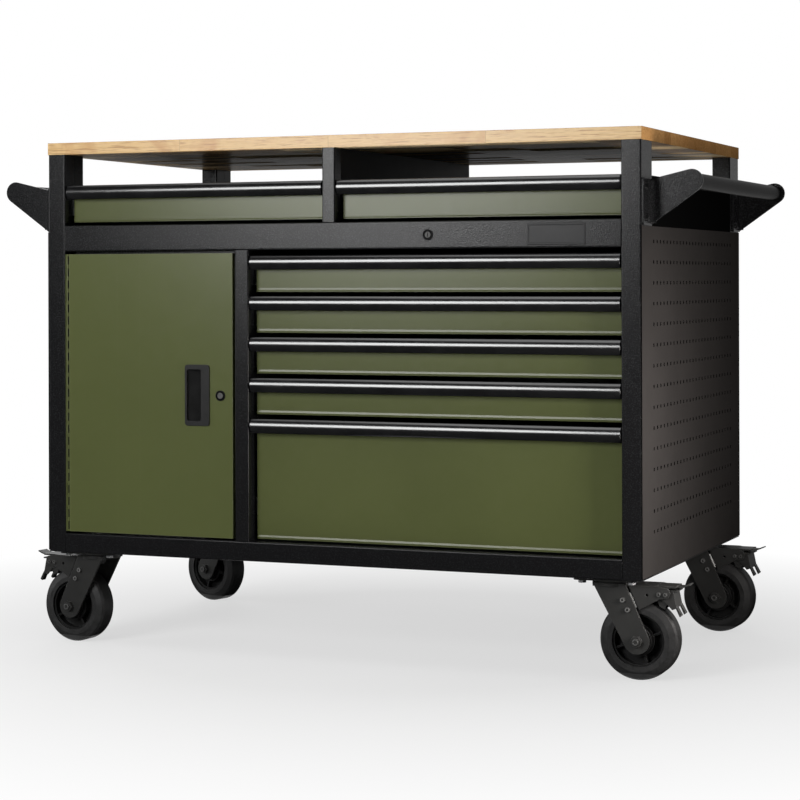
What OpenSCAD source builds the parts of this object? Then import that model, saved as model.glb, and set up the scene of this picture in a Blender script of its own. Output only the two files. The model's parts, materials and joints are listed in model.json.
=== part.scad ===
// Workbench roller cabinet: a wooden worktop on a folded steel frame, with seven drawers, a cupboard,
// push handles at both ends and four braked swivel casters.
// Millimetres. +X is right, -Y is the front, +Z is up. The origin is on the floor under the middle.

/* [Overall] */
// Width of worktop and frame, without the push handles
width = 1200; // [1100:5:1400]
// Depth of worktop and frame
depth = 720; // [660:5:800]
// Height of the worktop above the floor
height = 980; // [940:1:1060]
// Thickness of the worktop
top_t = 23; // [18:1:40]

/* [Frame] */
// Height of the frame's underside above the floor
frame_z = 183; // [178:1:200]
// Width of a corner post
post_w = 38; // [34:1:50]
// Depth of a corner post
post_d = 71; // [60:1:80]
// Wall of the folded posts, rails and floor pan
post_wall = 2; // [1.5:0.5:3]
// Outer radius of the folded edges
bend_r = 2.5; // [2:0.5:4]
// Thickness of the side panels, partition and divider sheet
sheet_t = 1.2; // [1:0.1:2]
// Thickness of the deck and back panel
pan_t = 1.5; // [1.2:0.1:2]
// Open bay between the upper rail and the worktop
upper_bay_h = 138.5; // [130:0.5:170]
// Height of the upper rail
rail_h = 50; // [44:1:60]
// Height of the lower rail
foot_rail_h = 37; // [32:1:50]
// Width of the door bay, from the left post to the centre post
door_bay_w = 368; // [340:1:420]
// Width of the post beside the door
centre_w = 28; // [24:1:36]
// Width of the short post between the upper drawers
mid_w = 26; // [24:1:36]

/* [Side panels] */
// Rows of punched slots
slot_rows = 15; // [4:1:16]
// Slots in a row
slot_cols = 26; // [4:1:28]
// Width of a slot
slot_w = 7; // [4:0.5:10]
// Height of a slot
slot_h = 6; // [4:0.5:10]
// Height of the punched sheet's top edge below the rail's top edge
panel_drop = 12.5; // [5:0.5:20]

/* [Drawers] */
// Spacing of the shallow drawers
drawer_pitch = 76.9; // [70:0.1:80]
// Height of a shallow drawer's front with its pull
drawer_h = 68.7; // [64:0.1:69]
// Set-back of the green fronts behind the frame
set_back = 25; // [22:1:30]
// Height of the bowed pull
pull_h = 26.8; // [24:0.1:28]
// Radius of the pull's bow
pull_r = 18; // [17:0.5:24]
// Wall of the pull
pull_t = 2; // [1.5:0.1:2.5]
// Length of a tray
tray_l = 615; // [500:5:640]
// Travel of a drawer
drawer_travel = 540; // [300:10:560]
// Width that a slide takes beside a tray
slide_w = 13; // [13:0.5:16]
// Height of a slide
slide_h = 32; // [30:1:36]

/* [Door] */
// Depth of the folded door
door_t = 18; // [16:1:24]
// Radius of the hinge knuckles
knuckle_r = 2.6; // [2.4:0.1:3]
// Radius of the hinge pin
pin_r = 1.4; // [1:0.1:1.6]
// Knuckles on the hinge
knuckles = 23; // [11:2:31]
// Width of the recessed pull's plate
grip_w = 52; // [46:1:60]
// Height of the recessed pull's plate
grip_h = 116; // [100:1:130]
// Radius of the lock's collar
lock_r = 9.8; // [9:0.1:12]

/* [Push handles] */
// Reach of a handle beyond the frame
handle_reach = 96; // [85:1:115]
// Diameter of the bar
bar_d = 29; // [24:1:32]
// Radius of a cheek's rounded end
cheek_r = 20.5; // [18:0.5:24]
// Width of the flange that bolts a cheek to its post
flange_w = 53; // [45:1:62]

/* [Casters] */
// Wheel diameter
wheel_d = 142; // [130:1:146]
// Wheel width
wheel_w = 46; // [40:1:46]
// Swivel axis in from the frame's end
swivel_x = 74; // [72:1:90]
// Swivel axis in from the frame's front and back
swivel_y = 70; // [68:1:90]
// Trail of the wheel behind the swivel axis
trail = 50; // [46:1:54]
// Rest heading of the front right caster
heading_fr = 2; // [-180:1:180]
// Rest heading of the rear right caster
heading_rr = -2; // [-180:1:180]
// Rest heading of the front left caster
heading_fl = 174; // [-180:1:180]
// Rest heading of the rear left caster
heading_rl = 163; // [-180:1:180]

/* [Part to show] */
// One part, or all of them

/* [Hidden] */
$fn = 48;
front = -depth / 2;
back = depth / 2;
under = height - top_t;
rail_top = under - upper_bay_h;
rail_low = rail_top - rail_h;
rail_mid = rail_top - rail_h / 2;
foot_top = frame_z + foot_rail_h;
inner = width / 2 - post_w;
skin = width / 2 - sheet_t;
panel_low = frame_z + 3;
panel_top = rail_top - panel_drop;
back_face = back - pan_t;
rail_reach = 30;
door_stop_h = 12;
drill_l = 20;
foot_reach = 40;
centre_x0 = -inner + door_bay_w;
centre_x1 = centre_x0 + centre_w;
centre_d = 40;
mid_d = 30;
hole_play = 0.05;

green = front + set_back;
front_t = 1.5;
bead_top = 7.2;
bead_mid = 3.4;
bead_low = 2;
bead_out = 0.7;
tray_t = 1.2;
pull_side = 2.6;
front_side = 6.5;
slide_t = 1.4;
slide_play = 0.3;
mid_slide_h = slide_h - 2 * slide_t - 2 * slide_play;
inner_slide_h = mid_slide_h - 2 * slide_t - 2 * slide_play;
slide_front = 30;
slide_back = 50;
slide_y = front + slide_front;
slide_l = depth - slide_front - slide_back;
upper_front_up = 6.9;
upper_pull_up = 78.2;
first_pull = rail_low - 10.3;
shallow = 4;
slide_up = 30;
deep_slide_up = 62;

// Each drawer is its bay's left and right wall, the lower edge of its front, the top of its pull and
// the height of its slides above that lower edge.
function upper_drawer(left) = [left ? -inner : mid_w / 2, left ? -mid_w / 2 : inner,
                               rail_top + upper_front_up, rail_top + upper_pull_up, slide_up];
function lower_drawer(row) = let (top = first_pull - row * drawer_pitch)
    [centre_x1, inner, row < shallow ? top - drawer_h : foot_top + 3.5, top,
     row < shallow ? slide_up : deep_slide_up];
drawers = concat([upper_drawer(true), upper_drawer(false)], [for (row = [0:shallow]) lower_drawer(row)]);

door_face = front + 1;
door_x0 = -inner + 8.2;
door_x1 = centre_x0 - 5;
door_z0 = foot_top + 4;
door_z1 = rail_low - 5.8;
hinge_x = -inner + 5.2;
hinge_y = front + 3;
leaf_t = 2;
door_leaf_t = 1.2;
door_mid_z = (door_z0 + door_z1) / 2;
grip_x = door_x1 - 74.5;
grip_t = 2.5;
cup_t = 1.5;
cup_depth = 14;
door_lock_x = door_x1 - 25.7;
rail_lock_x = (centre_x1 + inner) / 2;
lock_body_r = 8;
barrel_r = 5.5;
barrel_play = 0.06;
lock_collar = 2;
cam_l = 40;
rail_cam_l = 20;
cam_t = 2;

cheek_t = 4;
flange_h = 83;
flange_edge = 3;
flange_r = 4;
flange_low = panel_top + 1;
fold_r = 8;
flange_bolt_r = 6.5;
flange_bolt_t = 3.5;
flange_bolts = [13, 69];
bar_x = handle_reach - cheek_r;
bar_z = rail_top + 66.5;

wheel_r = wheel_d / 2;
plate_t = 5;
plate_l = 120;
plate_w = 108;
bolt_x = 45.5;
bolt_y = 42;
bolt_r = 4;
race_r = 40;
race_h = 5.5;
king_r = 8;
run_play = 0.3;
yoke_t = 6;
plate_z = frame_z - plate_t;
race_z = plate_z - race_h;
yoke_z = race_z - run_play - yoke_t;
leg_in = 29.5;
leg_t = 4;
leg_r = 23;
leg_x0 = -30;
leg_x1 = 29;
axle_r = 6;
axle = [trail, wheel_r];
brake_t = 3;
brake_in = leg_in - brake_t;
web_x1 = trail + 34;
web_t = 2.5;
pivot_x = trail + 39;
pivot_z = yoke_z - 11.2;
pivot_r = 3;
tyre_in = wheel_r * 0.67;
rim_in = tyre_in - 4;
boss_r = 24;
step_r = 29;
// Each caster is its corner's two signs, its rest heading and the angle its ribs have come to rest at.
casters = [[1, -1, heading_fr, 20], [1, 1, heading_rr, 60],
           [-1, -1, heading_fl, 59], [-1, 1, heading_rl, 15]];

paint_black = "#26272a";
paint_gloss = "#141517";
paint_green = "#545a38";
bare_steel = "#a8abad";

// A profile drawn in Y and Z, drawn out along X.
module along_x(length) {
    rotate([90, 0, 90])
        linear_extrude(length)
            children();
}

// A profile drawn in X and Z, drawn out towards the back.
module along_y(length) {
    rotate([90, 0, 0])
        translate([0, 0, -length])
            linear_extrude(length)
                children();
}

module round_rect(size, r) {
    square([size.x - 2 * r, size.y], center = true);
    square([size.x, size.y - 2 * r], center = true);
    for (sx = [-1, 1], sy = [-1, 1])
        translate([sx * (size.x / 2 - r), sy * (size.y / 2 - r)])
            circle(r);
}

// A folded tube, seen along its length.
module tube_2d(size, wall, r) {
    difference() {
        round_rect(size, r);
        square([size.x - 2 * wall, size.y - 2 * wall], center = true);
    }
}

// A channel with its web in front and its two folded edges rounded.
module channel_2d(reach, tall, wall, r) {
    difference() {
        union() {
            translate([r, 0])
                square([reach - r, tall]);
            translate([0, r])
                square([r, tall - 2 * r]);
            for (z = [r, tall - r])
                translate([r, z])
                    circle(r);
        }
        translate([wall, wall])
            square([reach, tall - 2 * wall]);
    }
}

// The straight-sided blend from a flat edge to a round end.
function tangent_point(from, centre, r, side) =
    let (gap = from - centre, turn = acos(r / norm(gap)), heading = atan2(gap.y, gap.x) + side * turn)
    centre + r * [cos(heading), sin(heading)];

module tapered_lug_2d(edge_a, edge_b, centre, r) {
    polygon([edge_a, tangent_point(edge_a, centre, r, -1), centre,
             tangent_point(edge_b, centre, r, 1), edge_b]);
    translate(centre)
        circle(r);
}

module worktop() {
    color("#dcb682")
        translate([-width / 2, front, under])
            cube([width, depth, top_t]);
}

// A corner post with a seam down its inner side and a drilled foot for a caster bolt.
module post(sx, sy) {
    wide = post_w - sheet_t;
    seam = 0.8;
    difference() {
        union() {
            translate([sx * (inner + wide / 2), sy * (back - post_d / 2), frame_z])
                linear_extrude(under - frame_z)
                    tube_2d([wide, post_d], post_wall, bend_r);
            translate([sx * (inner + wide / 2), sy * (back - post_d / 2), frame_z + post_wall / 2])
                cube([wide - 2 * post_wall, post_d - 2 * post_wall, post_wall], center = true);
        }
        translate([sx * inner, sy * (back - post_d / 2), (frame_z + under) / 2])
            cube([2 * seam, 1.5, under - frame_z + 1], center = true);
        translate([sx * (width / 2 - swivel_x + bolt_x), sy * (back - swivel_y + bolt_y), frame_z])
            cylinder(r = bolt_r + 0.2, h = 10, center = true);
    }
}

module front_posts() {
    color(paint_black)
        for (sx = [-1, 1])
            post(sx, -1);
}

module rear_posts() {
    color(paint_black)
        for (sx = [-1, 1])
            post(sx, 1);
}

// A channel between the front posts, with a lip below it that the shut door's top edge stops against.
module upper_rail() {
    stop_x0 = -inner + 8;
    stop_x1 = centre_x0 - 2;
    color(paint_black)
        difference() {
            union() {
                translate([-inner, front, rail_low])
                    along_x(2 * inner)
                        channel_2d(rail_reach, rail_h, post_wall, bend_r);
                translate([stop_x0, front + rail_reach - post_wall, rail_low - door_stop_h])
                    cube([stop_x1 - stop_x0, post_wall, door_stop_h + post_wall / 2]);
            }
            translate([rail_lock_x, front, rail_mid])
                rotate([90, 0, 0])
                    cylinder(r = lock_body_r + hole_play, h = drill_l, center = true);
        }
}

module lower_rail() {
    color(paint_black)
        difference() {
            translate([-inner, front, frame_z])
                along_x(2 * inner)
                    channel_2d(foot_reach, foot_rail_h, post_wall, bend_r);
            for (sx = [-1, 1])
                translate([sx * (width / 2 - swivel_x - bolt_x), front + swivel_y - bolt_y, frame_z])
                    cylinder(r = bolt_r + 0.2, h = 10, center = true);
        }
}

// The post beside the door has a slot in its left wall for the door lock's cam.
module centre_post() {
    color(paint_black)
        difference() {
            translate([(centre_x0 + centre_x1) / 2, front + centre_d / 2, foot_top])
                linear_extrude(rail_low - foot_top)
                    tube_2d([centre_w, centre_d], post_wall, bend_r);
            translate([centre_x0 - 1, door_face + door_t - 3, door_mid_z - 34])
                cube([6, 8, 46]);
        }
}

module middle_post() {
    color(paint_black)
        translate([0, front + mid_d / 2, rail_top])
            linear_extrude(under - rail_top)
                tube_2d([mid_w, mid_d], post_wall, bend_r);
}

// A hollow wall of two skins, closed at the front and the back.
module double_wall(x0, x1, y0, y1, z0, z1) {
    translate([(x0 + x1) / 2, (y0 + y1) / 2, z0])
        linear_extrude(z1 - z0)
            difference() {
                square([x1 - x0, y1 - y0], center = true);
                square([x1 - x0 - 2 * sheet_t, y1 - y0 - 2 * sheet_t], center = true);
            }
}

module upper_divider() {
    color(paint_black)
        double_wall(-mid_w / 2, mid_w / 2, front + mid_d, back - 8, rail_top - post_wall, under);
}

module partition() {
    color(paint_black)
        double_wall(centre_x0, centre_x1, front + centre_d, back_face, frame_z + post_wall,
                    rail_top - post_wall - pan_t);
}

// A punched sheet over both posts, and a plain strip lapped behind it that closes the upper drawers' bay.
module side_panel(sx) {
    slots_z0 = panel_low + 76;
    slots_z1 = panel_top - 27;
    slots_y = back - post_d - 5;
    row_step = (slots_z1 - slots_z0) / (slot_rows - 1);
    col_step = 2 * slots_y / (slot_cols - 1);
    lap = 13;
    strip_top = rail_top + 77.5;
    strip_d = depth - 2 * post_d;
    difference() {
        translate([sx * (skin + sheet_t / 2), 0, (panel_low + panel_top) / 2])
            cube([sheet_t, depth, panel_top - panel_low], center = true);
        for (row = [0:slot_rows - 1], col = [0:slot_cols - 1])
            translate([sx * skin, col * col_step - slots_y, slots_z0 + row * row_step])
                cube([6 * sheet_t, slot_w, slot_h], center = true);
    }
    translate([sx * (skin - sheet_t / 2), 0, (panel_top - lap + strip_top) / 2])
        cube([sheet_t, strip_d, strip_top - panel_top + lap], center = true);
}

module left_side_panel() {
    color(paint_black)
        side_panel(-1);
}

module right_side_panel() {
    color(paint_black)
        side_panel(1);
}

// A sheet between the rear posts, with a flange turned forward along each of them.
module back_panel() {
    top = rail_top + 74.5;
    flange = 20;
    color(paint_black)
        translate([0, 0, frame_z])
            linear_extrude(top - frame_z) {
                translate([-inner, back_face])
                    square([2 * inner, pan_t]);
                for (sx = [-1, 1])
                    translate([sx * (inner - pan_t / 2), back_face - flange / 2])
                        square([pan_t, flange], center = true);
            }
}

// The plan of a sheet that fills the frame between the posts.
module frame_plan_2d(y0, wide) {
    translate([-inner, y0])
        square([2 * inner, -y0]);
    translate([-inner + pan_t, -1])
        square([2 * (inner - pan_t), back_face + 1]);
    square([2 * wide, depth - 2 * post_d], center = true);
}

module floor_pan() {
    edge = 18;
    color(paint_black)
        difference() {
            union() {
                translate([0, 0, frame_z])
                    linear_extrude(post_wall)
                        frame_plan_2d(front + foot_reach, skin);
                for (sx = [-1, 1])
                    translate([sx * (skin - pan_t / 2), 0, frame_z + edge / 2])
                        cube([pan_t, depth - 2 * post_d, edge], center = true);
            }
            for (sx = [-1, 1], sy = [-1, 1], bx = [-1, 1], by = [-1, 1])
                translate([sx * (width / 2 - swivel_x) + bx * bolt_x,
                           sy * (back - swivel_y) + by * bolt_y, frame_z])
                    cylinder(r = bolt_r + 0.2, h = 10, center = true);
        }
}

module deck_panel() {
    color(paint_black)
        translate([0, 0, rail_top - post_wall - pan_t])
            linear_extrude(pan_t)
                frame_plan_2d(front + post_wall, skin - sheet_t);
}

module handle_bars() {
    long = depth - 2 * flange_edge - flange_w - cheek_t;
    color(paint_black)
        for (turn = [0, 180])
            rotate(turn)
                translate([width / 2 + bar_x, (flange_w - cheek_t) / 2, bar_z])
                    rotate([90, 0, 0])
                        cylinder(d = bar_d, h = long, center = true);
}

// A button head with a hexagon socket, standing out along x from the flange it holds.
module flange_bolt() {
    rotate([0, 90, 0])
        difference() {
            translate([0, 0, -1])
                cylinder(r = flange_bolt_r, h = flange_bolt_t + 1);
            translate([0, 0, 1])
                cylinder(r = flange_bolt_r / 2, h = flange_bolt_t, $fn = 6);
        }
}

// A folded bracket, drawn for the front right corner: a flange bolted to the post's outer side, and
// a cheek that turns out from the flange's rear edge to hold the end of the bar.
module handle_bracket() {
    y0 = front + flange_edge;
    y1 = y0 + flange_w;
    face = skin + cheek_t;
    base_low = [face - width / 2 - 1, flange_low + 1];
    base_top = [face - width / 2 - 1, flange_low + flange_h - 1];
    translate([width / 2, y1 - cheek_t, 0])
        along_y(cheek_t)
            tapered_lug_2d(base_top, base_low, [bar_x, bar_z], cheek_r);
    translate([skin, (y0 + y1) / 2, flange_low + flange_h / 2])
        rotate([90, 0, 90])
            linear_extrude(cheek_t)
                round_rect([flange_w, flange_h], flange_r);
    translate([face, y1 - cheek_t, flange_low + flange_r])
        linear_extrude(flange_h - 2 * flange_r)
            difference() {
                translate([-1, -fold_r])
                    square([fold_r + 1, fold_r + 1]);
                translate([fold_r, -fold_r])
                    circle(fold_r);
            }
    for (up = flange_bolts)
        translate([face, (y0 + y1 - fold_r - cheek_t) / 2, flange_low + up])
            flange_bolt();
}

// One bracket serves all four corners: slid to the rear, and the pair turned round for the left side.
module handle_cheeks() {
    color(paint_black)
        for (turn = [0, 180], slid = [0, 1])
            rotate(turn)
                translate([0, slid * (depth - 2 * flange_edge - flange_w), 0])
                    handle_bracket();
}

// One member of a slide in section: a web and two flanges, drawn from the wall towards the tray.
module slide_member_2d(x0, x1, tall, web_first) {
    translate([web_first ? x0 : x1 - slide_t, -tall / 2])
        square([slide_t, tall]);
    for (side = [-1, 1])
        translate([x0, side * (tall / 2 - slide_t / 2) - slide_t / 2])
            square([x1 - x0, slide_t]);
}

// Places a slide section on both walls of a drawer's bay.
module on_both_walls(drawer, y, length) {
    z = drawer[2] + drawer[4];
    translate([drawer[0], y, z])
        along_y(length)
            children();
    translate([drawer[1], y, z])
        mirror([1, 0, 0])
            along_y(length)
                children();
}

module slide_rails() {
    color(bare_steel)
        for (drawer = drawers)
            on_both_walls(drawer, slide_y, slide_l)
                slide_member_2d(0, 9.4, slide_h, true);
}

module runners(index) {
    color(bare_steel)
        on_both_walls(drawers[index], slide_y + 2, slide_l - 4)
            slide_member_2d(slide_t + 0.6, 10.6, mid_slide_h, true);
}

// A tray folded up behind its green front, which has a bead pressed along its lower edge, with the
// inner slide members on the tray's sides.
module drawer_box(index) {
    drawer = drawers[index];
    z0 = drawer[2];
    z1 = drawer[3];
    x0 = drawer[0] + slide_w;
    x1 = drawer[1] - slide_w;
    floor_z = z0 + 3;
    rim_z = z1 - 16;
    y0 = green + front_t;
    color(paint_green) {
        translate([drawer[0] + front_side, 0, 0])
            along_x(drawer[1] - drawer[0] - 2 * front_side)
                polygon([[green, z1 - pull_t], [green, z0 + bead_top], [green - bead_out, z0 + bead_mid],
                         [green, z0 + bead_low], [green, z0], [green + front_t, z0],
                         [green + front_t, z1 - pull_t]]);
        difference() {
            translate([x0, y0 - front_t / 2, floor_z])
                cube([x1 - x0, tray_l + front_t / 2, rim_z - floor_z]);
            translate([x0 + tray_t, y0, floor_z + tray_t])
                cube([x1 - x0 - 2 * tray_t, tray_l - tray_t, rim_z]);
        }
        on_both_walls(drawer, slide_y + 2, slide_l - 45)
            slide_member_2d(4.2, slide_w + tray_t / 2, inner_slide_h, false);
    }
}

// The bowed pull in section: forward is +x, its top is at pull_h.
module pull_outline_2d() {
    intersection() {
        square([set_back, pull_h]);
        translate([set_back - pull_r, pull_h / 2])
            circle(pull_r);
    }
}

module pull_2d() {
    difference() {
        pull_outline_2d();
        intersection() {
            translate([pull_t, -1])
                square([set_back, pull_h + 1 - pull_t]);
            translate([set_back - pull_r, pull_h / 2])
                circle(pull_r - pull_t);
        }
        translate([-1, -1])
            square([pull_t + 2, 9]);
    }
    translate([-front_t, pull_h - pull_t])
        square([front_t + 1, pull_t]);
}

module drawer_pull(index) {
    drawer = drawers[index];
    x0 = drawer[0] + pull_side;
    long = drawer[1] - drawer[0] - 2 * pull_side;
    cap = 2.5;
    color(paint_gloss)
        translate([x0, green, drawer[3] - pull_h]) {
            along_x(long)
                mirror([1, 0])
                    pull_2d();
            for (x = [0, long - cap])
                translate([x, 0, 0])
                    along_x(cap)
                        mirror([1, 0])
                            pull_outline_2d();
        }
}

// The green door is a shallow pan with a hole for its lock and a window for its recessed pull.
module door_panel() {
    wide = door_x1 - door_x0;
    tall = door_z1 - door_z0;
    stiffener_w = 50;
    color(paint_green)
        difference() {
            union() {
                translate([door_x0, door_face, door_z0])
                    difference() {
                        cube([wide, door_t, tall]);
                        translate([sheet_t, sheet_t, sheet_t])
                            cube([wide - 2 * sheet_t, door_t, tall - 2 * sheet_t]);
                    }
                translate([door_x0 + wide * 0.3, door_face + sheet_t, door_z0 + sheet_t])
                    linear_extrude(tall - 2 * sheet_t)
                        difference() {
                            square([stiffener_w, door_t - 2 * sheet_t]);
                            translate([sheet_t, -1])
                                square([stiffener_w - 2 * sheet_t, door_t - 3 * sheet_t + 1]);
                        }
            }
            translate([grip_x, door_face, door_mid_z])
                cube([grip_w - 8, 10, grip_h - 14], center = true);
            translate([door_lock_x, door_face, door_mid_z])
                rotate([90, 0, 0])
                    cylinder(r = lock_body_r + hole_play, h = 10, center = true);
        }
}

// One leaf's share of the knuckles: the frame's are the even ones.
module knuckle_row(odd) {
    step = (door_z1 - door_z0) / knuckles;
    gap = 0.3;
    for (k = [odd ? 1 : 0 : 2 : knuckles - 1])
        translate([hinge_x, hinge_y, door_z0 + k * step + gap / 2]) {
            cylinder(r = knuckle_r, h = step - gap);
            if (odd)
                cube([door_x0 - hinge_x, knuckle_r + 1, step - gap]);
            else
                translate([-hinge_x - inner, -1, 0])
                    cube([hinge_x + inner, 2, step - gap]);
        }
}

module hinge_frame_leaf() {
    leaf_d = 24;
    color(paint_green) {
        translate([-inner, hinge_y - 1.4, door_z0])
            cube([leaf_t, leaf_d, door_z1 - door_z0]);
        knuckle_row(false);
        translate([hinge_x, hinge_y, door_z0])
            cylinder(r = pin_r, h = door_z1 - door_z0);
    }
}

module hinge_door_leaf() {
    color(paint_green)
        difference() {
            union() {
                translate([door_x0 - door_leaf_t, hinge_y + knuckle_r + 0.4, door_z0])
                    cube([door_leaf_t, 10, door_z1 - door_z0]);
                knuckle_row(true);
            }
            translate([hinge_x, hinge_y, door_z0 - 1])
                cylinder(r = pin_r + barrel_play, h = door_z1 - door_z0 + 2);
        }
}

// A plate round a finger cup whose hollow runs on under the plate's right side.
module door_pull() {
    half = grip_w / 2 - 4.5;
    cup_h = grip_h - 15;
    mouth_w = 30;
    rise = 12 / (2 * half - 2 * cup_t - 10);
    shallow_y = cup_depth - 12;
    deep_x = half - cup_t - 10;
    color(paint_gloss)
        translate([grip_x, door_face, door_mid_z])
            difference() {
                union() {
                    translate([0, -grip_t, 0])
                        along_y(grip_t)
                            round_rect([grip_w, grip_h], 6);
                    translate([0, 0, -cup_h / 2])
                        linear_extrude(cup_h)
                            polygon([[-half, -0.5], [half, -0.5], [half, cup_depth + cup_t],
                                     [deep_x, cup_depth + cup_t],
                                     [-half, shallow_y + cup_t - cup_t * rise]]);
                }
                translate([0, 0, -cup_h / 2 + cup_t])
                    linear_extrude(cup_h - 2 * cup_t)
                        polygon([[cup_t - half, 0], [half - cup_t, 0], [half - cup_t, cup_depth],
                                 [deep_x, cup_depth], [cup_t - half, shallow_y]]);
                translate([mouth_w / 2 - half, -grip_t - 1, 0])
                    along_y(grip_t + 2)
                        round_rect([mouth_w, cup_h - 2 * cup_t], 4);
            }
}

// A collar and a sleeve, with the barrel's bore through both.
module lock_housing(x, face, z) {
    sleeve = 17;
    color(bare_steel)
        translate([x, face, z])
            rotate([90, 0, 0])
                difference() {
                    union() {
                        cylinder(r = lock_r, h = lock_collar);
                        translate([0, 0, -sleeve])
                            cylinder(r = lock_body_r, h = sleeve);
                    }
                    cylinder(r = barrel_r + barrel_play, h = 60, center = true);
                }
}

module rail_lock_housing() {
    lock_housing(rail_lock_x, front, rail_mid);
}

module door_lock_housing() {
    lock_housing(door_lock_x, door_face, door_mid_z);
}

// A barrel with a keyway in its face and a cam on its tail, which hangs down when unlocked.
module lock_barrel(x, face, z, reach) {
    tail = 20.5;
    color(bare_steel)
        translate([x, face, z]) {
            rotate([90, 0, 0])
                difference() {
                    translate([0, 0, -tail])
                        cylinder(r = barrel_r, h = tail + lock_collar - 0.3);
                    translate([-0.8, -3.5, lock_collar - 3])
                        cube([1.6, 7, 5]);
                }
            translate([0, tail - cam_t, 0])
                along_y(cam_t) {
                    circle(7);
                    translate([-5, -reach + 5])
                        square([10, reach - 5]);
                    translate([0, -reach + 5])
                        circle(5);
                }
        }
}

module rail_lock_barrel() {
    lock_barrel(rail_lock_x, front, rail_mid, rail_cam_l);
}

module door_lock_barrel() {
    lock_barrel(door_lock_x, door_face, door_mid_z, cam_l);
}

// Puts children under a corner of the frame, turned to the caster's heading.
module at_caster(index, turned = true) {
    caster = casters[index];
    translate([caster[0] * (width / 2 - swivel_x), caster[1] * (back - swivel_y), 0])
        rotate(turned ? caster[2] : 0)
            children();
}

// A bolted plate with the swivel's race and kingpin under it.
module caster_plates() {
    king_l = race_h + yoke_t + 2 * run_play + 12;
    color(paint_black)
        for (index = [0:3])
            at_caster(index, false) {
                translate([0, 0, plate_z])
                    linear_extrude(plate_t)
                        difference() {
                            round_rect([plate_l, plate_w], 8);
                            for (bx = [-1, 1], by = [-1, 1])
                                translate([bx * bolt_x, by * bolt_y])
                                    circle(bolt_r + 0.2);
                        }
                translate([0, 0, race_z])
                    cylinder(r1 = race_r - 3, r2 = race_r, h = race_h);
                translate([0, 0, plate_z - king_l])
                    cylinder(r = king_r, h = king_l);
                translate([0, 0, yoke_z - run_play - 9])
                    cylinder(r = 13, h = 9, $fn = 6);
            }
}

module caster_bolts() {
    head = 5.5;
    nut = 6.5;
    color("#c9ccce")
        for (index = [0:3], bx = [-1, 1], by = [-1, 1])
            at_caster(index, false)
                translate([bx * bolt_x, by * bolt_y, 0]) {
                    translate([0, 0, plate_z - head])
                        cylinder(r = 7.5, h = head, $fn = 6);
                    translate([0, 0, plate_z - 1])
                        cylinder(r = bolt_r, h = plate_t + 14);
                    translate([0, 0, frame_z + post_wall])
                        cylinder(r = 7.5, h = nut, $fn = 6);
                }
}

// One side plate of the brake's housing: it turns down from the top web and leaves a slit beside the leg.
module brake_plate_2d() {
    top = yoke_z + 1 + web_t;
    difference() {
        polygon([[leg_x1 + 5.5, top], [web_x1, top], [trail + 56, yoke_z], [trail + 60, yoke_z - 8],
                 [trail + 56, yoke_z - 17], [trail + 41, yoke_z - 19], [trail + 5, yoke_z - 39],
                 [trail + 3.5, yoke_z - 39]]);
        translate([trail + 18, yoke_z - 12.7])
            circle(2.6);
    }
}

// A low round head on the outside of a plate, with its socket open to that side.
module socket_head(at, side, face, r, tall) {
    translate([at.x, side * (face - 0.5), at.y])
        rotate([-90 * side, 0, 0])
            difference() {
                cylinder(r = r, h = tall + 0.5);
                translate([0, 0, tall - 1])
                    cylinder(r = r * 0.4, h = 2);
            }
}

// The swivelling fork with its axle, nuts and brake housing, drawn with the wheel trailing to +X.
module fork(index) {
    leg_bolts = [[trail - 25, yoke_z - 22.7], [trail - 16, yoke_z - 39.6]];
    leg_face = leg_in + leg_t;
    leg_top = yoke_z + yoke_t;
    nut_h = 8;
    color(paint_black)
        at_caster(index) {
            difference() {
                union() {
                    translate([0, 0, yoke_z])
                        cylinder(r = race_r - 2, h = yoke_t);
                    translate([leg_x0, -leg_face, yoke_z])
                        cube([leg_x1 - leg_x0, 2 * leg_face, yoke_t]);
                    translate([leg_x1 - 4, -leg_in, yoke_z + 1])
                        cube([web_x1 - leg_x1 + 4, 2 * leg_in, web_t]);
                }
                translate([0, 0, yoke_z - 1])
                    cylinder(r = king_r + barrel_play, h = yoke_t + 2);
            }
            for (side = [-1, 1]) {
                translate([0, side * (leg_in + leg_t / 2) - leg_t / 2, 0])
                    along_y(leg_t)
                        tapered_lug_2d([leg_x1, leg_top], [leg_x0, leg_top], axle, leg_r);
                translate([0, side * (brake_in + brake_t / 2) - brake_t / 2, 0])
                    along_y(brake_t)
                        brake_plate_2d();
                for (at = leg_bolts)
                    socket_head(at, side, leg_face, 4.8, 3.5);
                for (at = [[pivot_x, pivot_z], [pivot_x + 12, pivot_z]])
                    socket_head(at, side, leg_in, 4, 2);
                translate([axle.x, side * (leg_face - 0.5), axle.y])
                    rotate([-90 * side, 0, 0])
                        cylinder(r = 10.5, h = nut_h + 0.5, $fn = 6);
            }
            translate([axle.x, 0, axle.y])
                rotate([90, 0, 0])
                    cylinder(r = axle_r, h = 2 * (leg_face + nut_h + 3), center = true);
            translate([pivot_x, 0, pivot_z])
                rotate([90, 0, 0])
                    cylinder(r = pivot_r, h = 2 * leg_in, center = true);
        }
}

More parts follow.
